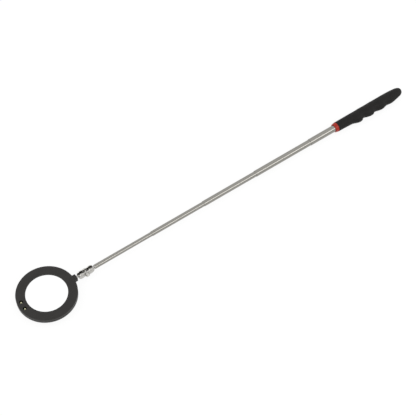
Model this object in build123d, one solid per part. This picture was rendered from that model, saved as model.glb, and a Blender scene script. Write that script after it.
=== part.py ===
"""Telescopic lighted inspection mirror.

A round mirror head with two small lamps hangs on a double ball joint at the tip of a
five-stage telescopic steel shaft, and a contoured rubber grip on a hard core holds the
outer stage. Millimetres. +X runs from the mirror head to the butt of the grip, +Z is up,
the mirror looks up (+Z), and the tool lies on z = 0 on the battery hub of the head and on
the belly of the grip. The origin is the centre of the footprint of the whole tool, at the
surface that it lies on.
"""

from build123d import *
import os
from math import cos, sin, radians, sqrt, pi

# ---------------------------------------------------------------- driving dimensions
AXIS_Z = 7.8            # height of the shaft axis over the surface it lies on

# mirror head, measured from its own centre
HEAD_R = 40.0           # outer radius of the head
FACE_UP = 4.7           # shaft axis to the front face
RIM_DOWN = 2.5          # shaft axis to the back of the rim
WINDOW_R = 27.45        # radius of the opening in front of the mirror
FACE_T = 1.4            # thickness of the front face
WALL = 1.8              # outer wall of both shells
FLOOR_T = 1.2           # floor of the back shell at the rim
HUB_R = 25.0            # battery hub on the back
HUB_WALL = 1.6
HUB_FLOOR = 2.2
MIRROR_R = 30.0
MIRROR_T = 2.0
PAD_R = 28.0
PAD_T = 0.6
LED_RING_R = 34.3       # radius on which the two lamps sit
LED_MID = 177.7         # direction of the middle of the pair, near the far end of the head
LED_ANGLE = 8.9         # each side of that direction
LED_R = 1.5
LED_WELL_R = 2.6
LED_BODY = 2.8          # lamp base to the foot of its dome
SCREW_RING_R = 34.2
SCREW_ANGLES = (42.0, 138.0, 222.0, 318.0)
NECK_END = 44.4         # end face of the neck
NECK_HALF_W = 4.2
NECK_HALF_T = 3.0

# cells, contacts and switch inside the hub
CELL_X = -11.6
CELL_R = 10.0
CELL_T = 1.6
CELL_LOW_Z = 1.95
DOOR_X_IN = -0.9        # inner end of the sliding battery door
DOOR_TRAVEL = 25.0
SWITCH_X = 10.2         # knob position when off
SWITCH_TRAVEL = 2.5

# double ball joint
BALL_R = 3.2
BALL_1_X = 51.6         # ball at the mirror
BALL_2_X = 65.0         # ball at the shaft
PLATE_IN = 2.0          # half of the gap between the plates
PLATE_T = 1.2
PLATE_R = 5.2             # round ends of the plates
PLATE_WAIST = 4.1         # half height between the round ends
CUP_GAP = 0.03
NECK_WIRE_R = 1.35      # thin part of both ball studs
CLAMP_SCREW_R = 1.48
CLAMP_SCREW_X = (BALL_1_X + BALL_2_X) / 2
CLAMP_SCREW_TIP = -6.8   # free end of the clamp screw, across the shaft

# telescopic shaft: outer radii, mouth positions and tube lengths, thinnest stage first
TUBE_R = (3.0, 3.5, 4.0, 4.5, 5.0)
TUBE_WALL = 0.35
TUBE_MOUTH = (71.5, 161.6, 247.1, 335.9, 433.6)
TUBE_LEN = (152.0, 154.0, 156.0, 158.0, 162.4)
SLEEVE_LEN = 7.5

# handle
CORE_FRONT = 478.7
GRIP_FRONT = 483.6
GRIP_END = 607.3
CORE_R = 6.2
CORE_END = 598.0

X_MID = (GRIP_END - HEAD_R) / 2      # the whole tool is moved by this much along -X

# derived
FACE_Z = AXIS_Z + FACE_UP
RIM_Z = AXIS_Z - RIM_DOWN
FACE_IN_Z = FACE_Z - FACE_T
FLOOR_Z = RIM_Z + FLOOR_T
BOSS_Z = FLOOR_Z + 0.75  # top of the screw bosses of the back cover
WELL_Z = RIM_Z + 0.9     # floor of the screw wells
MIRROR_Z = FACE_IN_Z - MIRROR_T
PAD_Z = MIRROR_Z - PAD_T

os.makedirs("parts", exist_ok=True)


def save(shape, node):
    """Moves a finished piece from the head's own frame to the tool's frame and writes it."""
    moved = Pos(-X_MID, 0, 0) * shape
    export_step(Compound(children=list(moved.solids())) if len(moved.solids()) > 1 else moved.solids()[0],
                f"parts/{node}.step")


def ring(r_out, r_in, z0, z1, x=0.0, y=0.0):
    """A plain ring standing on z0, about a vertical axis."""
    body = Pos(x, y, (z0 + z1) / 2) * Cylinder(r_out, z1 - z0)
    if r_in > 0:
        body -= Pos(x, y, (z0 + z1) / 2) * Cylinder(r_in, z1 - z0 + 1)
    return body


def block(x0, x1, y0, y1, z0, z1):
    return Pos((x0 + x1) / 2, (y0 + y1) / 2, (z0 + z1) / 2) * Box(x1 - x0, y1 - y0, z1 - z0)


def turned(points, z=AXIS_Z):
    """A piece turned about the shaft axis: points are (x, radius)."""
    wire = Polyline(*[(x, 0, z + r) for x, r in points], close=True)
    return revolve(make_face(wire), Axis((0, 0, z), (1, 0, 0)), 360)


def turned_z(points, x=0.0, y=0.0):
    """A piece turned about a vertical axis: points are (radius, z)."""
    wire = Polyline(*[(x + r, y, z) for r, z in points], close=True)
    return revolve(make_face(wire), Axis((x, y, 0), (0, 0, 1)), 360)


def x_rod(r, x0, x1, z=AXIS_Z, y=0.0):
    return Pos((x0 + x1) / 2, y, z) * Rot(0, 90, 0) * Cylinder(r, x1 - x0)


def y_rod(r, y0, y1, x, z=AXIS_Z):
    return Pos(x, (y0 + y1) / 2, z) * Rot(90, 0, 0) * Cylinder(r, y1 - y0)


def polar(r, deg):
    return r * cos(radians(deg)), r * sin(radians(deg))


LED_AT = [polar(LED_RING_R, LED_MID - LED_ANGLE), polar(LED_RING_R, LED_MID + LED_ANGLE)]
SCREW_AT = [polar(SCREW_RING_R, a) for a in SCREW_ANGLES]

# ---------------------------------------------------------------- head: front bezel
# Turned ring: front face, outer wall down to the parting plane at the shaft axis, and a
# rib that locates the mirror. The face steps down slightly at its outer edge and slopes
# down to the window.
bezel = turned_z([
    (WINDOW_R + 1.95, FACE_Z), (HEAD_R - 2.4, FACE_Z), (HEAD_R - 1.1, FACE_Z - 0.3), (HEAD_R - 0.2, FACE_Z - 0.3),
    (HEAD_R - 0.05, FACE_Z - 0.4), (HEAD_R, FACE_Z - 0.6), (HEAD_R, AXIS_Z + 0.3), (HEAD_R - 0.25, AXIS_Z), (HEAD_R - WALL, AXIS_Z),
    (HEAD_R - WALL, FACE_IN_Z), (WINDOW_R, FACE_IN_Z), (WINDOW_R, FACE_Z - 0.62), (WINDOW_R + 0.25, FACE_Z - 0.42),
])
mirror_rib = ring(MIRROR_R + 1.4, MIRROR_R + 0.15, FLOOR_Z + 0.4, FACE_IN_Z + 0.1)
mirror_rib -= block(-33, -26, 4.2, 13.5, 0, FLOOR_Z + 0.9)      # the wires pass under the rib
bezel += mirror_rib
for sx, sy in SCREW_AT:
    bezel += ring(2.4, 0, BOSS_Z + 0.05, FACE_IN_Z + 0.1, sx, sy)
# upper half of the neck, with its root inside the wall
neck_up = Pos(NECK_END - 4.2, 0, AXIS_Z) * extrude(RectangleRounded(8.4, 2 * NECK_HALF_W, 1.0), NECK_HALF_T)
neck_up = chamfer(neck_up.faces().sort_by(Axis.Z)[-1].edges(), 0.45)
neck_up += block(34.6, 39.0, -NECK_HALF_W, NECK_HALF_W, AXIS_Z, FACE_IN_Z + 0.1)
bezel += neck_up
for lx, ly in LED_AT:                                   # lamp wells, open to the board
    bezel -= ring(LED_WELL_R, 0, FACE_IN_Z - 1, FACE_Z + 1, lx, ly)
    rim = turned_z([(0, FACE_Z - 0.12), (LED_WELL_R - 0.01, FACE_Z - 0.12), (LED_WELL_R + 0.17, FACE_Z + 0.06), (0, FACE_Z + 0.06)], lx, ly)
    bezel -= rim
for sx, sy in SCREW_AT:                                 # pilot holes
    bezel -= ring(1.0, 0, 6.0, 10.75, sx, sy)
bezel -= x_rod(1.52, 34.0, 46.0)                        # bore for the ball stud
STUD_NUT_X = (36.4, 38.8)
nut_pocket = Pos(sum(STUD_NUT_X) / 2, 0, AXIS_Z) * Rot(0, 90, 0) * extrude(
    RegularPolygon(2.55, 6, major_radius=False, rotation=30), 1.25, both=True)
bezel -= nut_pocket
save(bezel, "front_bezel")

# ---------------------------------------------------------------- head: back cover
cover = turned_z([
    (0, 0), (HUB_R - 1.2, 0), (HUB_R - 0.45, 0.3), (HUB_R, 1.1), (HUB_R, RIM_Z - 0.8), (HUB_R + 0.8, RIM_Z),
    (HEAD_R - 0.5, RIM_Z), (HEAD_R - 0.15, RIM_Z + 0.12), (HEAD_R, RIM_Z + 0.45),
    (HEAD_R, AXIS_Z - 0.3), (HEAD_R - 0.25, AXIS_Z), (HEAD_R - WALL, AXIS_Z),
    (HEAD_R - WALL, FLOOR_Z), (HUB_R - HUB_WALL, FLOOR_Z), (HUB_R - HUB_WALL, HUB_FLOOR), (0, HUB_FLOOR),
])
tongue = ring(HEAD_R - WALL - 0.08, HEAD_R - WALL - 1.1, FLOOR_Z, AXIS_Z + 0.9)
tongue -= block(30, 45, -NECK_HALF_W - 0.3, NECK_HALF_W + 0.3, 0, 20)
cover += tongue
for sx, sy in SCREW_AT:
    cover += ring(2.7, 0, FLOOR_Z - 0.4, BOSS_Z, sx, sy)
# lower half of the neck, which runs on as a pad under the rim and takes the stud's nut
neck_dn = Pos(NECK_END - 5.4, 0, AXIS_Z - NECK_HALF_T) * extrude(RectangleRounded(10.8, 2 * NECK_HALF_W, 1.0), NECK_HALF_T)
neck_dn = chamfer(neck_dn.faces().sort_by(Axis.Z)[0].edges(), 0.45)
neck_dn += block(34.6, 39.0, -NECK_HALF_W, NECK_HALF_W, FLOOR_Z - 0.2, AXIS_Z)
cover += neck_dn
cover -= x_rod(1.52, 34.0, 46.0)
cover -= nut_pocket
for sx, sy in SCREW_AT:                                 # screw wells
    cover -= ring(2.1, 0, RIM_Z - 1, WELL_Z, sx, sy)
    cover -= ring(1.1, 0, RIM_Z - 1, BOSS_Z + 0.5, sx, sy)
# cell cradle, open towards the contacts
cradle = ring(CELL_R + 1.2, CELL_R + 0.25, HUB_FLOOR - 0.2, 5.8, CELL_X, 0)
cradle -= block(CELL_X + 5, CELL_X + 14, -3.2, 3.2, 0, 10)
cradle -= block(CELL_X - 2.2, CELL_X + 2.2, 8, 14, 4.9, 10)
cradle -= block(CELL_X - 14, CELL_X - 5, -2.2, 2.2, 4.9, 10)
cover += cradle
# rib that the mirror's pad lies on, open where the wires cross it
pad_rib = ring(26.4, 24.9, FLOOR_Z - 0.2, PAD_Z)
pad_rib -= block(-40, -4, 1.0, 20.0, 0, 20)
cover += pad_rib
# rails that the switch stands on
for rx in (5.6, 16.6):
    cover += block(rx - 0.6, rx + 0.6, -2.4, 2.4, HUB_FLOOR - 0.2, 3.2)
# opening for the cells, and the track of the sliding door, open at the edge of the hub
cover -= block(CELL_X - CELL_R - 0.15, DOOR_X_IN + 0.1 - 0.6, -10.25, 10.25, -1, HUB_FLOOR + 0.001)
cover -= block(-HUB_R - 1, DOOR_X_IN + 0.1, -11.05, 11.05, -1, 1.1)
cover -= block(-HUB_R - 1, DOOR_X_IN + 0.1, -12.15, 12.15, 0.98, 1.85)
# dished seat and slot of the switch knob
cover -= Pos(11.45, 0, 0) * extrude(RectangleRounded(11.0, 6.4, 1.6), 1.0)
cover -= block(8.2, 14.7, -1.6, 1.6, -1, 3)
save(cover, "back_cover")

# sliding battery door: a T-section tongue, cut to the outline of the hub, with thumb grooves
hub_outline = turned_z([(0, 0.05), (HUB_R - 1.25, 0.05), (HUB_R - 0.5, 0.35), (HUB_R - 0.05, 1.15), (HUB_R - 0.05, 3.0), (0, 3.0)])
door = block(-HUB_R - 1, DOOR_X_IN, -10.9, 10.9, 0.05, 1.2)
door += block(-HUB_R - 1, DOOR_X_IN, -12.0, 12.0, 1.05, 1.72)
door = door & hub_outline
for gx in (-21.0, -19.2, -17.4, -15.6):
    door -= block(gx - 0.4, gx + 0.4, -5.5, 5.5, -1, 0.42)
door = door.solids()[0]
save(door, "battery_door")

# ---------------------------------------------------------------- head: mirror and pad
glass = turned_z([(0, MIRROR_Z), (MIRROR_R - 0.3, MIRROR_Z), (MIRROR_R, MIRROR_Z + 0.3), (MIRROR_R, FACE_IN_Z - 0.3),
                   (MIRROR_R - 0.3, FACE_IN_Z), (0, FACE_IN_Z)])
save(glass, "mirror_glass")
save(ring(PAD_R, 0, PAD_Z, MIRROR_Z), "mirror_pad")

# ---------------------------------------------------------------- head: lamps and board
BOARD_T = 0.8
board = ring(36.6, 32.2, FLOOR_Z, FLOOR_Z + BOARD_T)
board = board & block(-40, -30.5, -9.6, 9.6, 0, 20)
board = board.solids()[0]
save(board, "led_board")
LED_Z = FLOOR_Z + BOARD_T
for (lx, ly), node in zip(LED_AT, ("led_left", "led_right")):
    lamp = ring(1.9, 0, LED_Z, LED_Z + 0.8, lx, ly) + ring(LED_R, 0, LED_Z, LED_Z + LED_BODY, lx, ly)
    lamp += Pos(lx, ly, LED_Z + LED_BODY) * Sphere(LED_R)
    lamp &= block(lx - 3, lx + 3, ly - 3, ly + 3, LED_Z, LED_Z + 6)
    save(lamp, node)
save(block(-35.2, -33.6, -1.6, 1.6, LED_Z, LED_Z + 0.6), "led_resistor")

# ---------------------------------------------------------------- head: cells, contacts, switch
for i, node in enumerate(("cell_lower", "cell_upper")):
    z0 = CELL_LOW_Z + i * CELL_T
    cell = turned_z([(0, z0), (CELL_R - 0.35, z0), (CELL_R, z0 + 0.3), (CELL_R, z0 + 1.25), (CELL_R - 0.6, z0 + 1.35),
                     (CELL_R - 1.2, z0 + CELL_T), (0, z0 + CELL_T)], CELL_X, 0)
    save(cell, node)
CELL_TOP = CELL_LOW_Z + 2 * CELL_T
neg = ring(3.6, 0, CELL_TOP, CELL_TOP + 0.3, CELL_X, 0) + block(CELL_X - 1.5, CELL_X + 1.5, 0, 12.2, CELL_TOP, CELL_TOP + 0.3)
save(neg, "contact_negative")
pos = block(CELL_X + CELL_R, CELL_X + CELL_R + 0.3, -2.0, 2.0, 2.4, 5.6) + block(CELL_X + CELL_R, 2.2, -1.2, 1.2, 5.3, 5.6)
save(pos, "contact_positive")

SW_MID = SWITCH_X + SWITCH_TRAVEL / 2
can = block(SW_MID - 6.0, SW_MID + 6.0, -2.3, 2.3, 3.2, 6.2)
can -= block(SW_MID - 5.6, SW_MID + 5.6, -1.9, 1.9, 3.6, 5.8)
can -= block(SW_MID - 3.4, SW_MID + 3.4, -1.1, 1.1, 3.0, 4.0)
save(can, "switch_can")
save(block(SWITCH_X - 1.8, SWITCH_X + 1.8, -1.7, 1.7, 3.7, 5.2) + block(SWITCH_X - 0.9, SWITCH_X + 0.9, -0.9, 0.9, 2.2, 3.7), "switch_slider")
terminals = [block(SW_MID + dx - 0.4, SW_MID + dx + 0.4, 2.3, 3.7, 5.2, 5.45) for dx in (-3.0, 0.0, 3.0)]
save(Compound(children=terminals), "switch_terminals")
knob = block(SWITCH_X - 1.7, SWITCH_X + 1.7, -1.5, 1.5, 0.3, 2.4) + block(SWITCH_X - 3.0, SWITCH_X + 3.0, -1.9, 1.9, 2.25, 2.85)
for gx in (-0.9, 0.0, 0.9):
    knob -= block(SWITCH_X + gx - 0.2, SWITCH_X + gx + 0.2, -2, 2, 0, 0.65)
knob -= block(SWITCH_X - 0.95, SWITCH_X + 0.95, -0.95, 0.95, 2.15, 4)
save(knob, "switch_knob")

# ---------------------------------------------------------------- head: wires
WIRE_R = 0.28


def wire(points, radius):
    path = FilletPolyline(*points, radius=radius)
    start = path @ 0
    direction = path % 0
    return sweep(Plane(origin=start, z_dir=direction) * Circle(WIRE_R), path=path)


WIRE_Z = FLOOR_Z + 0.36
TAB_Z = CELL_TOP + 0.15
black = wire([(CELL_X, 12.2, TAB_Z), (CELL_X, 14.6, TAB_Z + 0.2), (-15.0, 15.6, WIRE_Z), (-20.5, 14.6, WIRE_Z), (-26.5, 9.5, WIRE_Z), (-33.2, 5.0, WIRE_Z)],
             [1.2, 1.8, 3.0, 4.0])
black -= board
save(black, "wire_black")
red_1 = wire([(SW_MID, 3.7, 5.32), (SW_MID, 6.2, 5.45), (7.4, 7.4, 5.45), (4.3, 4.6, 5.45), (4.3, 0, 5.45), (2.2, 0, 5.45)],
             [1.1, 1.6, 1.8, 0.9])
red_2 = wire([(SW_MID + 3.0, 3.7, 5.32), (SW_MID + 3.0, 9.0, 5.6), (10.0, 15.5, WIRE_Z - 0.3), (0.0, 19.4, WIRE_Z), (-12.0, 19.2, WIRE_Z), (-24.0, 14.0, WIRE_Z), (-33.0, 7.4, WIRE_Z)],
             [2.4, 4.0, 5.0, 5.5, 5.5])
red_2 -= board
save(Compound(children=[red_1.solids()[0], red_2.solids()[0]]), "wire_red")

# ---------------------------------------------------------------- head: screws
screws = []
for sx, sy in SCREW_AT:
    s = turned_z([(0, RIM_Z + 0.08), (1.5, RIM_Z + 0.08), (1.9, RIM_Z + 0.35), (1.9, WELL_Z), (0.95, WELL_Z), (0.95, 10.0), (0.5, 10.45), (0, 10.45)], sx, sy)
    s -= block(sx - 1.2, sx + 1.2, sy - 0.22, sy + 0.22, 4, RIM_Z + 0.5) + block(sx - 0.22, sx + 0.22, sy - 1.2, sy + 1.2, 4, RIM_Z + 0.5)
    screws.append(s.solids()[0])
save(Compound(children=screws), "housing_screws")

# ---------------------------------------------------------------- double ball joint
# stud of the mirror head: threaded shank held by a nut in the neck, shoulder, thin neck in the ball
stud_1 = turned([(35.5, 0), (35.5, 1.2), (35.9, 1.5), (NECK_END, 1.5), (NECK_END, 2.4), (NECK_END + 0.3, 2.6), (NECK_END + 0.8, 2.6),
                 (NECK_END + 1.1, 2.2), (NECK_END + 1.5, NECK_WIRE_R), (BALL_1_X + 1.6, NECK_WIRE_R), (BALL_1_X + 1.6, 0)])
save(stud_1, "mirror_stud")
nut_1 = Pos(sum(STUD_NUT_X) / 2, 0, AXIS_Z) * Rot(0, 90, 0) * extrude(RegularPolygon(2.5, 6, major_radius=False, rotation=30), 1.2, both=True)
nut_1 -= x_rod(1.53, 35, 41)
save(nut_1, "stud_nut")


def drilled_ball(x, toward):
    """A steel ball drilled for the thin neck of its stud, open on the side named by toward."""
    ball = Pos(x, 0, AXIS_Z) * Sphere(BALL_R)
    x0, x1 = (x - 6, x + 1.65) if toward < 0 else (x - 1.65, x + 6)
    return ball - x_rod(NECK_WIRE_R + 0.03, x0, x1)


save(drilled_ball(BALL_1_X, -1), "mirror_ball")
save(drilled_ball(BALL_2_X, 1), "shaft_ball")

# two pressed plates with round ends and a cup over each ball
for side, node in ((1, "clamp_plate_far"), (-1, "clamp_plate_near")):
    lobes = Pos(BALL_1_X, 0) * Circle(PLATE_R) + Pos(BALL_2_X, 0) * Circle(PLATE_R)
    outline = lobes + Pos(CLAMP_SCREW_X, 0) * Rectangle(BALL_2_X - BALL_1_X, 2 * PLATE_WAIST)
    corners = [v for v in outline.vertices() if abs(abs(v.Y) - PLATE_WAIST) < 0.01]
    outline = fillet(corners, 2.5)
    flat = extrude(outline, PLATE_T)                     # lies in XY, stands up in Z
    flat = fillet(flat.faces().sort_by(Axis.Z)[-1].edges(), 0.35)
    flat = Pos(0, 0, AXIS_Z) * Rot(90, 0, 0) * flat      # now grows towards -Y
    flat = Pos(0, -PLATE_IN, 0) * flat
    plate = flat
    for bx in (BALL_1_X, BALL_2_X):
        cup = Pos(bx, 0, AXIS_Z) * Sphere(BALL_R + PLATE_T)
        cup &= block(bx - 6, bx + 6, -8, -PLATE_IN, 0, 20)
        plate += cup
    for bx in (BALL_1_X, BALL_2_X):
        plate -= Pos(bx, 0, AXIS_Z) * Sphere(BALL_R + CUP_GAP)
    plate -= y_rod(1.62, -8, 0, CLAMP_SCREW_X)
    if side > 0:
        plate = mirror(plate, Plane.XZ)
    save(plate, node)

PLATE_OUT = PLATE_IN + PLATE_T
head = Pos(CLAMP_SCREW_X, PLATE_OUT, AXIS_Z) * Rot(-90, 0, 0) * (Pos(0, 0, 0.9) * Cylinder(2.8, 1.8))
head = fillet(head.edges().group_by(Axis.Y)[-1], 0.7)
clamp_screw = head + y_rod(CLAMP_SCREW_R, CLAMP_SCREW_TIP, PLATE_OUT + 0.1, CLAMP_SCREW_X)
clamp_screw = chamfer(clamp_screw.edges().group_by(Axis.Y)[0], 0.4)
clamp_screw -= block(CLAMP_SCREW_X - 3.2, CLAMP_SCREW_X + 3.2, PLATE_OUT + 0.9, PLATE_OUT + 3, AXIS_Z - 0.35, AXIS_Z + 0.35)
save(clamp_screw, "clamp_screw")
washer = y_rod(2.7, -PLATE_OUT - 0.7, -PLATE_OUT, CLAMP_SCREW_X) - y_rod(1.6, -8, 0, CLAMP_SCREW_X)
washer -= block(CLAMP_SCREW_X + 0.5, CLAMP_SCREW_X + 4, -8, 0, AXIS_Z - 0.2, AXIS_Z + 0.2)
save(washer, "clamp_lock_washer")
NUT_Y0 = -PLATE_OUT - 0.7
nut = Pos(CLAMP_SCREW_X, NUT_Y0, AXIS_Z) * Rot(90, 0, 0) * extrude(RegularPolygon(2.75, 6, major_radius=False, rotation=0), 2.4)
nut_cone = Pos(CLAMP_SCREW_X, NUT_Y0 - 1.2, AXIS_Z) * Rot(90, 0, 0) * Cylinder(3.1, 2.4)
nut_cone = chamfer(nut_cone.edges().group_by(Axis.Y)[0] + nut_cone.edges().group_by(Axis.Y)[-1], 0.3)
nut &= nut_cone
nut -= y_rod(1.52, -12, 0, CLAMP_SCREW_X)
save(nut, "clamp_nut")

# stud of the shaft: thin neck in the ball, tapered shoulder, plug in the tip of the thinnest tube
t1_in = TUBE_R[0] - TUBE_WALL
stud_2 = turned([(BALL_2_X - 1.6, 0), (BALL_2_X - 1.6, NECK_WIRE_R), (70.3, NECK_WIRE_R), (71.1, 2.1), (71.9, 2.3), (72.1, t1_in - 0.02),
                 (80.0, t1_in - 0.02), (80.4, t1_in - 0.4), (80.4, 0)])
save(stud_2, "shaft_stud")

# ---------------------------------------------------------------- telescopic tubes and friction sleeves
for k in range(5):
    ro, ri = TUBE_R[k], TUBE_R[k] - TUBE_WALL
    x0, x1 = TUBE_MOUTH[k], TUBE_MOUTH[k] + TUBE_LEN[k]
    if k == 0:
        mouth_out = [(x0, ro - 0.15), (x0 + 0.2, ro)]
        mouth_in = [(x0, ri + 0.0)]
    else:                                               # mouth rolled in onto the next stage
        near = TUBE_R[k - 1] + 0.03
        mouth_out = [(x0, ro - 0.28), (x0 + 0.25, ro - 0.14), (x0 + 0.9, ro - 0.03), (x0 + 1.5, ro)]
        mouth_in = [(x0 + 2.3, ri), (x0 + 1.6, near), (x0, near)]
    if k < 4:                                           # seat of the friction sleeve at the lower end
        seat = ro - 0.13
        end_out = [(x1 - SLEEVE_LEN - 0.8, ro), (x1 - SLEEVE_LEN - 0.8, seat), (x1 - 0.7, seat), (x1 - 0.7, ro), (x1, ro)]
    else:
        end_out = [(x1, ro)]
    tube = turned(mouth_out + end_out + [(x1, ri)] + mouth_in)
    save(tube, "outer_tube" if k == 4 else f"tube_{k + 1}")
    if k < 4:
        s0 = x1 - SLEEVE_LEN - 0.75
        sleeve = x_rod(ro + 0.12, s0, s0 + SLEEVE_LEN) - x_rod(ro - 0.11, s0 - 1, s0 + SLEEVE_LEN + 1)
        sleeve -= block(s0 - 1, s0 + SLEEVE_LEN + 1, -0.5, 0.5, AXIS_Z, AXIS_Z + 8)
        save(sleeve.solids()[0], f"friction_sleeve_{k + 1}")

# ---------------------------------------------------------------- handle
outer_in = TUBE_R[4] - TUBE_WALL
x_tube_end = TUBE_MOUTH[4] + TUBE_LEN[4]
save(turned([(590.6, 0), (590.6, outer_in - 0.3), (590.9, outer_in - 0.02), (x_tube_end, outer_in - 0.02), (x_tube_end, 0)]), "tube_end_plug")
core = turned([
    (CORE_FRONT, 5.03), (CORE_FRONT, 5.9), (CORE_FRONT + 0.35, 6.3), (GRIP_FRONT - 0.5, 7.2), (GRIP_FRONT, 7.2), (GRIP_FRONT, CORE_R),
    (CORE_END, CORE_R), (CORE_END, 0), (x_tube_end + 0.05, 0), (x_tube_end + 0.05, 5.03),
])
for rx in (500.0, 525.0, 550.0, 575.0):                 # grooves that lock the rubber to the core
    core -= x_rod(CORE_R + 1, rx, rx + 2.5) - x_rod(CORE_R - 0.4, rx - 1, rx + 4)
save(core, "handle_core")

# Rubber grip: oval sections (station, palm side +Y, finger side -Y, half height). The finger
# side has three full ridges and a low one between four finger hollows.
GRIP = [
    (GRIP_FRONT, 7.20, 7.25, 7.20), (490.0, 7.17, 7.33, 7.28), (498.0, 7.17, 7.52, 7.50), (503.0, 7.19, 7.68, 7.62), (507.3, 7.23, 7.93, 7.70),
    (509.2, 7.25, 8.10, 7.73), (512.2, 7.28, 8.99, 7.76), (515.5, 7.31, 10.35, 7.78), (518.8, 7.34, 11.50, 7.78), (521.4, 7.37, 11.78, 7.78),
    (523.8, 7.39, 11.56, 7.78), (525.5, 7.40, 10.55, 7.78), (527.1, 7.41, 9.40, 7.78), (528.8, 7.42, 8.80, 7.78), (530.4, 7.43, 8.78, 7.78),
    (532.2, 7.44, 9.35, 7.78), (534.6, 7.46, 10.32, 7.78), (537.1, 7.48, 11.08, 7.78), (540.0, 7.51, 11.74, 7.78), (542.8, 7.54, 11.96, 7.78),
    (545.5, 7.57, 11.65, 7.78), (547.4, 7.59, 10.40, 7.78), (548.9, 7.60, 9.76, 7.78), (551.0, 7.61, 9.46, 7.78), (553.9, 7.62, 9.98, 7.78),
    (557.3, 7.63, 10.98, 7.78), (560.2, 7.64, 11.60, 7.78), (563.0, 7.65, 11.82, 7.78), (565.7, 7.65, 11.58, 7.78), (569.1, 7.65, 10.67, 7.78),
    (572.0, 7.65, 9.98, 7.78), (574.0, 7.64, 9.82, 7.78), (577.6, 7.61, 10.36, 7.78), (581.4, 7.56, 10.72, 7.77), (584.4, 7.48, 10.55, 7.68),
    (587.8, 7.36, 10.06, 7.54), (591.3, 7.18, 9.38, 7.32), (594.7, 6.96, 8.71, 7.02), (598.1, 6.64, 8.02, 6.62), (601.6, 6.08, 7.16, 5.98),
    (603.6, 5.50, 6.30, 5.40), (605.6, 4.40, 4.90, 4.40),
]


def slopes(xs, vs):
    """Slopes of a curve through (xs, vs) that never overshoots between two stations."""
    h = [b - a for a, b in zip(xs, xs[1:])]
    d = [(b - a) / w for a, b, w in zip(vs, vs[1:], h)]
    out = [d[0]]
    for k in range(1, len(xs) - 1):
        if d[k - 1] * d[k] <= 0:
            out.append(0.0)
        else:
            w1, w2 = 2 * h[k] + h[k - 1], h[k] + 2 * h[k - 1]
            out.append((w1 + w2) / (w1 / d[k - 1] + w2 / d[k]))
    return out + [d[-1]]


def value(xs, vs, ms, x):
    k = max(i for i in range(len(xs) - 1) if xs[i] <= x + 1e-9)
    h = xs[k + 1] - xs[k]
    t = (x - xs[k]) / h
    return ((2 * t ** 3 - 3 * t * t + 1) * vs[k] + (t ** 3 - 2 * t * t + t) * h * ms[k]
            + (3 * t * t - 2 * t ** 3) * vs[k + 1] + (t ** 3 - t * t) * h * ms[k + 1])


STATIONS = 58                                           # evenly spaced sections of the grip
grip_x = [row[0] for row in GRIP]
columns = [[row[i] for row in GRIP] for i in (1, 2, 3)]
curves = [(grip_x, c, slopes(grip_x, c)) for c in columns]
sections = []
for n in range(STATIONS):
    x = GRIP_FRONT + (grip_x[-1] - GRIP_FRONT) * n / (STATIONS - 1)
    palm, finger, half = (value(*c, x) for c in curves)
    a, yc = (palm + finger) / 2, (palm - finger) / 2
    sections.append(Plane(origin=(x, yc, AXIS_Z), x_dir=(0, 1, 0), z_dir=(1, 0, 0)) * Ellipse(a, half))
grip = loft(sections, ruled=False)
# domed butt
butt_a, butt_b = (4.40 + 4.90) / 2, 4.40
butt = [Plane(origin=(x, -0.25 * s, AXIS_Z), x_dir=(0, 1, 0), z_dir=(1, 0, 0)) * Ellipse(butt_a * s, butt_b * s)
        for x, s in ((605.6, 1.0), (606.5, 0.80), (607.1, 0.52), (GRIP_END, 0.22))]
grip += loft(butt, ruled=False)
grip -= turned([(GRIP_FRONT - 2, 0), (GRIP_FRONT - 2, CORE_R + 0.02), (CORE_END + 0.05, CORE_R + 0.02), (CORE_END + 0.05, 0)])
save(grip, "grip")
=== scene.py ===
import math

import bmesh
import bpy
from mathutils import Matrix, Vector


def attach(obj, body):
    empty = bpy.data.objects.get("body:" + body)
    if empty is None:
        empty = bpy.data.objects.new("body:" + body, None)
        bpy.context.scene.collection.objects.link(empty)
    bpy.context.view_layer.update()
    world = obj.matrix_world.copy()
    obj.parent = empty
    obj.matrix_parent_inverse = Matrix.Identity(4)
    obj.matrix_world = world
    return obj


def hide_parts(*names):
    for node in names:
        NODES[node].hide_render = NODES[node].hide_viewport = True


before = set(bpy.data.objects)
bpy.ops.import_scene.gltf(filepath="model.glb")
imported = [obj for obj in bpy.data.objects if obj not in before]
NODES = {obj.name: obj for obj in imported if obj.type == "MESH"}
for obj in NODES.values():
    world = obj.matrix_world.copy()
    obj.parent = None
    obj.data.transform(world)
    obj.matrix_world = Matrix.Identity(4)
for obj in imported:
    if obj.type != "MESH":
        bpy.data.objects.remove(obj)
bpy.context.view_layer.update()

scene = bpy.context.scene

# ---------------------------------------------------------------- camera: the viewing angle of the picture
camera_data = bpy.data.cameras.new("camera")
camera_data.sensor_width = 36.0
camera_data.lens = 36.0 * 1021.48 / 416.0
camera_data.clip_start = 0.01
camera_data.clip_end = 50.0
camera = bpy.data.objects.new("camera", camera_data)
scene.collection.objects.link(camera)
right = Vector((0.81209939, -0.58320048, 0.01928163))
up = Vector((0.47213468, 0.67614189, 0.56561558))
back = Vector((-0.3429044, -0.45023254, 0.82444359))
turn = Matrix((right, up, back)).transposed().to_4x4()
camera.matrix_world = Matrix.Translation(Vector((-0.51336, -0.63683, 1.15725))) @ turn
scene.camera = camera

# ---------------------------------------------------------------- plain soft studio
scene.view_settings.view_transform = "Standard"
scene.view_settings.look = "None"
scene.view_settings.exposure = 0.0
scene.view_settings.gamma = 1.0

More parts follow.
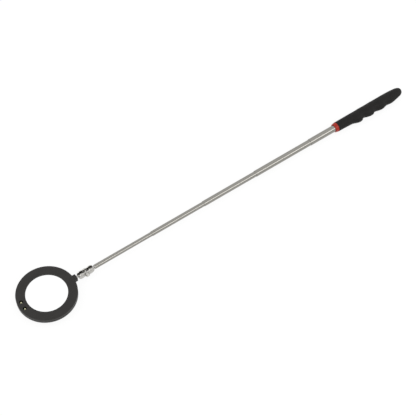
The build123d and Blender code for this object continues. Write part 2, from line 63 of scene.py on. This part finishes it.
world = bpy.data.worlds.new("studio")
scene.world = world
world.use_nodes = True
wn, wl = world.node_tree.nodes, world.node_tree.links
wn.clear()
w_out = wn.new("ShaderNodeOutputWorld")
w_bg = wn.new("ShaderNodeBackground")
w_co = wn.new("ShaderNodeTexCoord")
w_sep = wn.new("ShaderNodeSeparateXYZ")
w_ramp = wn.new("ShaderNodeValToRGB")
wl.new(w_co.outputs["Generated"], w_sep.inputs[0])
wl.new(w_sep.outputs["Z"], w_ramp.inputs[0])
wl.new(w_ramp.outputs[0], w_bg.inputs["Color"])
wl.new(w_bg.outputs[0], w_out.inputs["Surface"])
ramp = w_ramp.color_ramp
SKY = ((0.0, 0.60), (0.22, 0.86), (0.55, 1.0), (0.90, 1.0), (0.965, 0.84), (1.0, 0.80))
ramp.elements[0].position, ramp.elements[0].color = SKY[0][0], (SKY[0][1],) * 3 + (1,)
ramp.elements[1].position, ramp.elements[1].color = SKY[-1][0], (SKY[-1][1],) * 3 + (1,)
for at, v in SKY[1:-1]:
    e = ramp.elements.new(at)
    e.color = (v, v, v, 1)
w_bg.inputs["Strength"].default_value = 1.08


def area(name, at, to, size_x, size_y, watts, colour=(1, 1, 1), x_along=None):
    data = bpy.data.lights.new(name, "AREA")
    data.shape = "RECTANGLE"
    data.size, data.size_y = size_x, size_y
    data.energy = watts
    data.color = colour
    lamp = bpy.data.objects.new(name, data)
    scene.collection.objects.link(lamp)
    z = (Vector(at) - Vector(to)).normalized()
    x = Vector(x_along) if x_along else Vector((1, 0, 0))
    x = (x - z * x.dot(z)).normalized()
    y = z.cross(x)
    lamp.matrix_world = Matrix.Translation(Vector(at)) @ Matrix((x, y, z)).transposed().to_4x4()
    return lamp


# long strip parallel to the shaft: the narrow bright line along every tube
area("strip", (0.44, -0.86, 0.94), (0.0, 0.0, 0.01), 2.2, 0.36, 6.4, x_along=(1, 0, 0))
# broad soft key from the head's end
area("key", (-1.35, 0.55, 1.15), (-0.1, 0.0, 0.0), 1.1, 0.8, 4.5, x_along=(0, 1, 0))

# ---------------------------------------------------------------- node helpers


class Mat:
    """A node material on a Principled shader, with object coordinates ready to use."""

    def __init__(self, name, base, metallic=0.0, rough=0.5, spec=0.5, ior=1.5):
        self.m = bpy.data.materials.new(name)
        self.m.use_nodes = True
        self.n, self.l = self.m.node_tree.nodes, self.m.node_tree.links
        self.n.clear()
        self.out = self.n.new("ShaderNodeOutputMaterial")
        self.b = self.n.new("ShaderNodeBsdfPrincipled")
        self.l.new(self.b.outputs[0], self.out.inputs["Surface"])
        self.b.inputs["Base Color"].default_value = (*base, 1)
        self.b.inputs["Metallic"].default_value = metallic
        self.b.inputs["Roughness"].default_value = rough
        self.b.inputs["Specular IOR Level"].default_value = spec
        self.b.inputs["IOR"].default_value = ior
        self.co = self.n.new("ShaderNodeTexCoord").outputs["Object"]
        self.base = base

    def map(self, scale):
        node = self.n.new("ShaderNodeMapping")
        node.inputs["Scale"].default_value = scale if hasattr(scale, "__len__") else (scale,) * 3
        self.l.new(self.co, node.inputs["Vector"])
        return node.outputs[0]

    def noise(self, scale, detail=3.0, rough=0.5, co=None, distortion=0.0):
        node = self.n.new("ShaderNodeTexNoise")
        node.inputs["Scale"].default_value = 1.0
        node.inputs["Detail"].default_value = detail
        node.inputs["Roughness"].default_value = rough
        node.inputs["Distortion"].default_value = distortion
        self.l.new(co if co is not None else self.map(scale), node.inputs["Vector"])
        return node.outputs["Fac"]

    def voronoi(self, scale, feature="F1", out="Distance"):
        node = self.n.new("ShaderNodeTexVoronoi")
        node.feature = feature
        node.inputs["Scale"].default_value = 1.0
        self.l.new(self.map(scale), node.inputs["Vector"])
        return node.outputs[out]

    def remap(self, value, a, b, c, d, clamp=True):
        node = self.n.new("ShaderNodeMapRange")
        node.clamp = clamp
        for i, x in enumerate((a, b, c, d)):
            node.inputs[1 + i].default_value = x
        self.l.new(value, node.inputs[0])
        return node.outputs[0]

    def math(self, op, a, b=None, clamp=False):
        node = self.n.new("ShaderNodeMath")
        node.operation = op
        node.use_clamp = clamp
        for i, x in enumerate((a, b)):
            if x is None:
                continue
            if isinstance(x, (int, float)):
                node.inputs[i].default_value = x
            else:
                self.l.new(x, node.inputs[i])
        return node.outputs[0]

    def mix(self, fac, a, b):
        node = self.n.new("ShaderNodeMix")
        node.data_type = "RGBA"
        if isinstance(fac, (int, float)):
            node.inputs["Factor"].default_value = fac
        else:
            self.l.new(fac, node.inputs["Factor"])
        for key, x in (("A", a), ("B", b)):
            socket = [s for s in node.inputs if s.name == key and s.type == "RGBA"][0]
            if isinstance(x, tuple):
                socket.default_value = (*x, 1)
            else:
                self.l.new(x, socket)
        return [s for s in node.outputs if s.type == "RGBA"][0]

    def colour(self, value):
        self.l.new(value, self.b.inputs["Base Color"])

    def rough(self, value):
        self.l.new(value, self.b.inputs["Roughness"])

    def bump(self, height, distance, strength=1.0, chain=None):
        node = self.n.new("ShaderNodeBump")
        node.inputs["Strength"].default_value = strength
        node.inputs["Distance"].default_value = distance
        self.l.new(height, node.inputs["Height"])
        if chain is not None:
            self.l.new(chain, node.inputs["Normal"])
        self.l.new(node.outputs[0], self.b.inputs["Normal"])
        return node.outputs[0]

    def xyz(self, axis):
        node = self.n.new("ShaderNodeSeparateXYZ")
        self.l.new(self.co, node.inputs[0])
        return node.outputs[axis]

    def edge(self, low=0.52, high=0.62):
        """1 along convex edges, 0 elsewhere."""
        node = self.n.new("ShaderNodeNewGeometry")
        return self.remap(node.outputs["Pointiness"], low, high, 0.0, 1.0)


def scaled(base, k):
    return tuple(min(1.0, c * k) for c in base)


# ---------------------------------------------------------------- materials
def moulded_black(name, base, rough, spec, grain_mm, depth):
    """Hard black plastic with the fine cratered texture of a spark-eroded mould."""
    m = Mat(name, base, 0.0, rough, spec)
    cloud = m.noise(90.0, 3.0, 0.55)
    tone = m.mix(m.remap(cloud, 0.35, 0.65, 0.0, 1.0), scaled(base, 0.90), scaled(base, 1.10))
    rub = m.noise((260.0, 260.0, 260.0), 6.0, 0.65)
    worn = m.math("MULTIPLY", m.edge(0.53, 0.60), m.remap(rub, 0.42, 0.62, 0.15, 1.0))
    m.colour(m.mix(m.math("MULTIPLY", worn, 0.5), tone, scaled(base, 1.9)))
    k = 1000.0 / grain_mm
    crater = m.noise(k, 2.0, 0.6)
    pits = m.voronoi(k * 0.55)
    height = m.math("ADD", m.math("MULTIPLY", crater, 0.7), m.math("MULTIPLY", pits, 0.5))
    m.bump(height, depth, 0.55)
    m.rough(m.math("ADD", m.remap(m.noise(420.0, 4.0, 0.6), 0.3, 0.7, rough - 0.05, rough + 0.06), m.math("MULTIPLY", worn, -0.10)))
    return m


def rubber(name, base):
    """Soft matte thermoplastic rubber with a pebbled grain."""
    m = Mat(name, base, 0.0, 0.62, 0.15)
    m.b.inputs["Sheen Weight"].default_value = 0.02
    m.b.inputs["Sheen Roughness"].default_value = 0.5
    cloud = m.noise(70.0, 4.0, 0.6)
    m.colour(m.mix(m.remap(cloud, 0.35, 0.65, 0.0, 1.0), scaled(base, 0.86), scaled(base, 1.16)))
    cells = m.voronoi(1000.0 / 0.42, "SMOOTH_F1")
    fine = m.noise(1000.0 / 0.13, 2.0, 0.6)
    m.bump(m.math("ADD", cells, m.math("MULTIPLY", fine, 0.35)), 0.00006, 0.6)
    m.rough(m.remap(m.noise(300.0, 3.0, 0.6), 0.3, 0.7, 0.56, 0.70))
    return m


def drawn_tube(name, base, rough):
    """Plated drawn tube: long fine draw lines, and rub marks where one stage slides in the next."""
    m = Mat(name, base, 1.0, rough, 0.5)
    lines = m.noise((14.0, 5200.0, 5200.0), 2.0, 0.5)
    broad = m.noise((9.0, 900.0, 900.0), 2.0, 0.5)
    both = m.math("ADD", m.math("MULTIPLY", lines, 0.6), m.math("MULTIPLY", broad, 0.4))
    m.colour(m.mix(m.remap(both, 0.38, 0.62, 0.0, 1.0), scaled(base, 0.93), scaled(base, 1.06)))
    smear = m.noise(120.0, 4.0, 0.6)
    m.rough(m.math("ADD", m.remap(lines, 0.3, 0.7, rough - 0.04, rough + 0.05), m.remap(smear, 0.4, 0.7, -0.02, 0.03)))
    m.bump(both, 0.000006, 0.35)
    return m


def plated(name, base, rough, grain=0.35):
    """Bright nickel or chrome plate over pressed or turned steel."""
    m = Mat(name, base, 1.0, rough, 0.5)
    cloud = m.noise(700.0, 4.0, 0.6)
    worn = m.edge(0.54, 0.66)
    m.colour(m.mix(m.remap(cloud, 0.35, 0.65, 0.0, 1.0), m.mix(worn, scaled(base, 0.95), scaled(base, 1.08)), scaled(base, 1.02)))
    m.rough(m.remap(m.noise(1500.0, 3.0, 0.6), 0.3, 0.7, rough - 0.04, rough + 0.06))
    m.bump(m.noise(2600.0, 3.0, 0.6), 0.00001, grain)
    return m


def strip_steel(name, base, rough):
    m = Mat(name, base, 1.0, rough, 0.5)
    lines = m.noise((90.0, 4200.0, 4200.0), 2.0, 0.5)
    m.colour(m.mix(m.remap(lines, 0.35, 0.65, 0.0, 1.0), scaled(base, 0.92), scaled(base, 1.05)))
    m.rough(m.remap(lines, 0.3, 0.7, rough - 0.05, rough + 0.07))
    m.bump(lines, 0.000008, 0.4)
    return m


def gloss(name, base, rough=0.18, coat=0.25, flow=None):
    m = Mat(name, base, 0.0, rough, 0.5)
    m.b.inputs["Coat Weight"].default_value = coat
    m.b.inputs["Coat Roughness"].default_value = 0.08
    cloud = m.noise(flow or 260.0, 3.0, 0.6)
    m.colour(m.mix(m.remap(cloud, 0.35, 0.65, 0.0, 1.0), scaled(base, 0.9), scaled(base, 1.08)))
    m.rough(m.remap(m.noise(900.0, 3.0, 0.6), 0.3, 0.7, max(0.02, rough - 0.04), rough + 0.06))
    m.bump(m.noise(1400.0, 2.0, 0.5), 0.00001, 0.35)
    return m


def matte(name, base, rough=0.6, scale=1500.0, depth=0.00003, spec=0.4):
    m = Mat(name, base, 0.0, rough, spec)
    cloud = m.noise(scale * 0.3, 3.0, 0.6)
    m.colour(m.mix(m.remap(cloud, 0.35, 0.65, 0.0, 1.0), scaled(base, 0.88), scaled(base, 1.1)))
    m.rough(m.remap(m.noise(scale * 0.5, 3.0, 0.6), 0.3, 0.7, rough - 0.06, rough + 0.08))
    m.bump(m.noise(scale, 3.0, 0.6), depth, 0.6)
    return m


black_abs = moulded_black("black_abs", (0.0168, 0.0155, 0.0142), 0.46, 0.28, 0.24, 0.00003)
tpr = rubber("grip_tpr", (0.0086, 0.0079, 0.0073))
tube_metal = drawn_tube("tube_plate", (0.290, 0.281, 0.258), 0.16)
chrome_plate = plated("clamp_nickel", (0.50, 0.49, 0.465), 0.24)
screw_plate = plated("screw_nickel", (0.62, 0.61, 0.58), 0.20)
# the balls' dark grey is painted shade: steel balls darkened to stand for the shade between the clamp plates
ball_steel_painted_shade = plated("ball_steel_painted_shade", (0.20, 0.195, 0.18), 0.28)


def stamped_plate(name, base, inside_shade, rough):
    """Stamped and plated strip: bright outside, with painted shade on the side that faces the balls: a dark mottled
    colour that stands for the shade between the plates.
    """
    m = Mat(name, base, 1.0, rough, 0.5)
    cloud = m.noise(700.0, 4.0, 0.6)
    worn = m.edge(0.54, 0.66)
    bright_side = m.mix(m.remap(cloud, 0.35, 0.65, 0.0, 1.0), m.mix(worn, scaled(base, 0.92), scaled(base, 1.12)), scaled(base, 1.03))
    # painted shade: the faces towards the balls get a dark mottled colour in place of the shade that falls between the
    # plates
    shade_mottle = m.noise(1800.0, 4.0, 0.6)
    painted_shade_side = m.mix(m.remap(shade_mottle, 0.35, 0.65, 0.0, 1.0), scaled(inside_shade, 0.9), scaled(inside_shade, 1.8))
    away = m.math("ABSOLUTE", m.xyz("Y"))
    m.colour(m.mix(m.remap(away, 0.00203, 0.00214, 0.0, 1.0), painted_shade_side, bright_side))
    lines = m.noise((160.0, 160.0, 2400.0), 3.0, 0.55)
    m.rough(m.remap(lines, 0.3, 0.7, rough - 0.05, rough + 0.07))
    m.bump(m.noise(2200.0, 3.0, 0.6), 0.00001, 0.35)
    return m


# the second colour is painted shade for the plate faces that look into the gap
clamp_strip = stamped_plate("clamp_strip", (0.50, 0.49, 0.465), (0.085, 0.080, 0.074), 0.25)
bright = plated("turned_steel", (0.60, 0.59, 0.57), 0.16)
red = gloss("red_collar", (0.295, 0.018, 0.009), 0.27, 0.0)
red.b.inputs["Specular IOR Level"].default_value = 0.24
nylon = matte("nylon", (0.70, 0.69, 0.64), 0.45, 900.0, 0.00001, 0.5)
brass = strip_steel("phosphor_bronze", (0.70, 0.50, 0.24), 0.28)
spring = strip_steel("spring_steel", (0.50, 0.50, 0.49), 0.28)
cell = strip_steel("cell_can", (0.60, 0.60, 0.58), 0.24)
foam = matte("foam", (0.03, 0.03, 0.03), 0.9, 2500.0, 0.0001, 0.2)
board = gloss("solder_mask", (0.02, 0.13, 0.05), 0.25, 0.2)
chip = matte("chip", (0.02, 0.02, 0.02), 0.5)
red_wire = gloss("vinyl_red", (0.45, 0.02, 0.02), 0.35, 0.0)
black_wire = gloss("vinyl_black", (0.012, 0.012, 0.012), 0.35, 0.0)
screw_black = strip_steel("black_oxide", (0.07, 0.07, 0.07), 0.35)


def mirror_mat():
    """Silvered glass: near perfect reflection, with a trace of dust."""
    m = Mat("silvered_glass", (0.94, 0.95, 0.95), 1.0, 0.01, 0.5)
    dust = m.noise(900.0, 5.0, 0.7)
    m.rough(m.remap(dust, 0.62, 0.80, 0.008, 0.05))
    smear = m.noise((60.0, 130.0, 60.0), 3.0, 0.5)
    m.colour(m.mix(m.remap(smear, 0.4, 0.7, 0.0, 1.0), (0.95, 0.955, 0.955), (0.93, 0.94, 0.94)))
    return m


silver = mirror_mat()
lamp = gloss("lamp_epoxy", (0.46, 0.44, 0.28), 0.14, 0.5, 900.0)

BY_NODE = {
    "grip": tpr, "handle_core": red, "tube_end_plug": nylon,
    "shaft_stud": bright, "mirror_stud": bright, "shaft_ball": ball_steel_painted_shade, "mirror_ball": ball_steel_painted_shade, "stud_nut": bright,
    "clamp_plate_near": clamp_strip, "clamp_plate_far": clamp_strip, "clamp_screw": screw_plate, "clamp_nut": chrome_plate,
    "clamp_lock_washer": spring,
    "front_bezel": black_abs, "back_cover": black_abs, "battery_door": black_abs, "switch_knob": black_abs,
    "switch_slider": nylon, "mirror_glass": silver, "mirror_pad": foam,
    "led_left": lamp, "led_right": lamp, "led_board": board, "led_resistor": chip,
    "cell_lower": cell, "cell_upper": cell, "contact_negative": spring, "contact_positive": spring,
    "switch_can": spring, "switch_terminals": brass, "wire_red": red_wire, "wire_black": black_wire, "housing_screws": screw_black,
    "outer_tube": tube_metal, "tube_4": tube_metal, "tube_3": tube_metal, "tube_2": tube_metal, "tube_1": tube_metal,
    "friction_sleeve_1": brass, "friction_sleeve_2": brass, "friction_sleeve_3": brass, "friction_sleeve_4": brass,
}
for name, node in NODES.items():
    for s in node.material_slots:
        s.material = BY_NODE[name].m

# ---------------------------------------------------------------- pieces made here
AXIS_Z = 0.0078
X_MID = 0.28365


def put(name, verts, faces, material, body, smooth=True, sharp=None):
    mesh = bpy.data.meshes.new(name)
    mesh.from_pydata(verts, [], faces)
    mesh.validate()
    bm = bmesh.new()
    bm.from_mesh(mesh)
    bmesh.ops.recalc_face_normals(bm, faces=bm.faces)
    for f in bm.faces:
        f.smooth = smooth
    if sharp is not None:
        for edge in bm.edges:
            if len(edge.link_faces) == 2 and edge.calc_face_angle(0.0) > sharp:
                edge.smooth = False
    bm.to_mesh(mesh)
    bm.free()
    mesh.materials.append(material.m)
    o = bpy.data.objects.new(name, mesh)
    scene.collection.objects.link(o)
    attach(o, body)
    return o


def slopes(xs, vs):
    h = [b - a for a, b in zip(xs, xs[1:])]
    d = [(b - a) / w for a, b, w in zip(vs, vs[1:], h)]
    out = [d[0]]
    for k in range(1, len(xs) - 1):
        if d[k - 1] * d[k] <= 0:
            out.append(0.0)
        else:
            w1, w2 = 2 * h[k] + h[k - 1], h[k] + 2 * h[k - 1]
            out.append((w1 + w2) / (w1 / d[k - 1] + w2 / d[k]))
    return out + [d[-1]]


def value(xs, vs, ms, x):
    k = max(i for i in range(len(xs) - 1) if xs[i] <= x + 1e-9)
    h = xs[k + 1] - xs[k]
    t = (x - xs[k]) / h
    return ((2 * t ** 3 - 3 * t * t + 1) * vs[k] + (t ** 3 - 2 * t * t + t) * h * ms[k]
            + (3 * t * t - 2 * t ** 3) * vs[k + 1] + (t ** 3 - t * t) * h * ms[k + 1])


# the grip's sections in millimetres: station, palm side, finger side, half height, with its
# rounded front lip and its domed butt
GRIP = [
    (483.6, 7.20, 7.25, 7.20), (490.0, 7.17, 7.33, 7.28), (498.0, 7.17, 7.52, 7.50), (503.0, 7.19, 7.68, 7.62), (507.3, 7.23, 7.93, 7.70),
    (509.2, 7.25, 8.10, 7.73), (512.2, 7.28, 8.99, 7.76), (515.5, 7.31, 10.35, 7.78), (518.8, 7.34, 11.50, 7.78), (521.4, 7.37, 11.78, 7.78),
    (523.8, 7.39, 11.56, 7.78), (525.5, 7.40, 10.55, 7.78), (527.1, 7.41, 9.40, 7.78), (528.8, 7.42, 8.80, 7.78), (530.4, 7.43, 8.78, 7.78),
    (532.2, 7.44, 9.35, 7.78), (534.6, 7.46, 10.32, 7.78), (537.1, 7.48, 11.08, 7.78), (540.0, 7.51, 11.74, 7.78), (542.8, 7.54, 11.96, 7.78),
    (545.5, 7.57, 11.65, 7.78), (547.4, 7.59, 10.40, 7.78), (548.9, 7.60, 9.76, 7.78), (551.0, 7.61, 9.46, 7.78), (553.9, 7.62, 9.98, 7.78),
    (557.3, 7.63, 10.98, 7.78), (560.2, 7.64, 11.60, 7.78), (563.0, 7.65, 11.82, 7.78), (565.7, 7.65, 11.58, 7.78), (569.1, 7.65, 10.67, 7.78),
    (572.0, 7.65, 9.98, 7.78), (574.0, 7.64, 9.82, 7.78), (577.6, 7.61, 10.36, 7.78), (581.4, 7.56, 10.72, 7.77), (584.4, 7.48, 10.55, 7.68),
    (587.8, 7.36, 10.06, 7.54), (591.3, 7.18, 9.38, 7.32), (594.7, 6.96, 8.71, 7.02), (598.1, 6.64, 8.02, 6.62), (601.6, 6.08, 7.16, 5.98),
    (603.6, 5.50, 6.30, 5.40), (605.6, 4.40, 4.90, 4.40),
]
grip_x = [r[0] for r in GRIP]
grip_curves = [(grip_x, c, slopes(grip_x, c)) for c in ([r[i] for r in GRIP] for i in (1, 2, 3))]


def grip_rings():
    """Rings of the grip: (station, palm, finger, half), from the end of the bore for the core to
    its mouth and on over the outside."""
    rings = [(598.05, 6.21, 6.21, 6.21), (485.5, 6.21, 6.21, 6.21), (484.5, 6.30, 6.30, 6.30), (483.8, 6.32, 6.32, 6.32), (483.62, 6.50, 6.50, 6.48), (483.6, 6.80, 6.80, 6.78)]
    lip = [(0.0, 0.86), (0.08, 0.50), (0.25, 0.22), (0.5, 0.06)]
    for dx, cut in lip:
        p, f, h = (value(*c, 483.6 + dx) for c in grip_curves)
        rings.append((483.6 + dx + 0.001, p - cut * 0.45, f - cut * 0.45, h - cut * 0.45))
    n = 170
    for k in range(n + 1):
        x = 484.5 + (605.6 - 484.5) * k / n
        rings.append((x, *(value(*c, x) for c in grip_curves)))
    for x, q in ((606.0, 0.915), (606.4, 0.82), (606.8, 0.68), (607.1, 0.52), (607.25, 0.36), (607.3, 0.2)):
        rings.append((x, 4.40 * q, 4.90 * q, 4.40 * q))
    return rings


def make_grip():
    around = 128
    verts, faces = [], []
    rings = grip_rings()
    for at, (x, palm, finger, half) in enumerate(rings):
        a, yc = (palm + finger) / 2, (palm - finger) / 2
        for k in range(around):
            t = 2 * math.pi * k / around
            c, n = math.cos(t), math.sin(t)
            grow = 0.0
            if at > 5 and x > 484.6 and x < 606.5:
                # parting seam of the mould along both sides
                grow += 0.045 * math.exp(-((t * a) / 0.16) ** 2) + 0.045 * math.exp(-(((t - 2 * math.pi) * a) / 0.16) ** 2)
                grow += 0.045 * math.exp(-(((t - math.pi) * a) / 0.16) ** 2)
            verts.append(((x / 1000 - X_MID), (yc + (a + grow) * c) / 1000, AXIS_Z + (half + grow) * n / 1000))
    for r in range(len(rings) - 1):
        for k in range(around):
            k2 = (k + 1) % around
            faces.append((r * around + k, r * around + k2, (r + 1) * around + k2, (r + 1) * around + k))
    last = (len(rings) - 1) * around
    verts.append((607.31 / 1000 - X_MID, -0.25 * 0.2 / 1000, AXIS_Z))
    tip = len(verts) - 1
    for k in range(around):
        faces.append((last + k, last + (k + 1) % around, tip))
    # floor of the bore, so that the skin is closed
    verts.append((598.05 / 1000 - X_MID, 0, AXIS_Z))
    hub = len(verts) - 1
    for k in range(around):
        faces.append(((k + 1) % around, k, hub))
    o = put("grip_skin", verts, faces, tpr, "handle")
    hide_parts("grip")
    return o


make_grip()


def helix_thread(name, x, y0, y1, r_root, r_crest, pitch, material, body):
    """Ridge of a screw thread along Y, faded in and out at both ends."""
    per_turn, profile = 40, ((-0.42, 0.0), (-0.06, 1.0), (0.06, 1.0), (0.42, 0.0))
    turns = (y1 - y0) / pitch - 0.84
    steps = int(turns * per_turn)
    verts, faces = [], []
    for k in range(steps + 1):
        t = 2 * math.pi * k / per_turn
        fade = min(1.0, k / 8.0, (steps - k) / 8.0)
        for dy, up_ in profile:
            r = r_root + (r_crest - r_root) * up_ * fade
            y = y0 + (0.42 + dy + k / per_turn) * pitch
            verts.append((x + r * math.cos(t), y, AXIS_Z + r * math.sin(t)))
    m = len(profile)
    for k in range(steps):
        for q in range(m):
            q2 = (q + 1) % m
            faces.append((k * m + q, k * m + q2, (k + 1) * m + q2, (k + 1) * m + q))
    faces.append(tuple(range(m)))
    faces.append(tuple(steps * m + q for q in range(m)))
    return put(name, verts, faces, material, body, sharp=math.radians(50))


CLAMP_X = 0.0583 - X_MID
helix_thread("clamp_screw_thread_inner", CLAMP_X, -0.00196, 0.00196, 0.00143, 0.00160, 0.0005, screw_plate, "clamp")
helix_thread("clamp_screw_thread_tip", CLAMP_X, -0.00672, -0.00562, 0.00138, 0.00151, 0.0005, screw_plate, "clamp")

# ---------------------------------------------------------------- floor
floor_mesh = bpy.data.meshes.new("floor")
floor_mesh.from_pydata([(-4, -4, 0), (4, -4, 0), (4, 4, 0), (-4, 4, 0)], [], [(0, 1, 2, 3)])
floor = bpy.data.objects.new("floor", floor_mesh)
floor.location.z = -0.0002
scene.collection.objects.link(floor)
paper = bpy.data.materials.new("pale_floor")
paper.use_nodes = True
pn, pl = paper.node_tree.nodes, paper.node_tree.links
pn.clear()
p_out = pn.new("ShaderNodeOutputMaterial")
p_add = pn.new("ShaderNodeAddShader")
p_dif = pn.new("ShaderNodeBsdfDiffuse")
p_em = pn.new("ShaderNodeEmission")
p_dif.inputs["Color"].default_value = (0.10, 0.10, 0.10, 1)
p_em.inputs["Strength"].default_value = 0.895
pl.new(p_dif.outputs[0], p_add.inputs[0])
pl.new(p_em.outputs[0], p_add.inputs[1])
pl.new(p_add.outputs[0], p_out.inputs["Surface"])
floor_mesh.materials.append(paper)
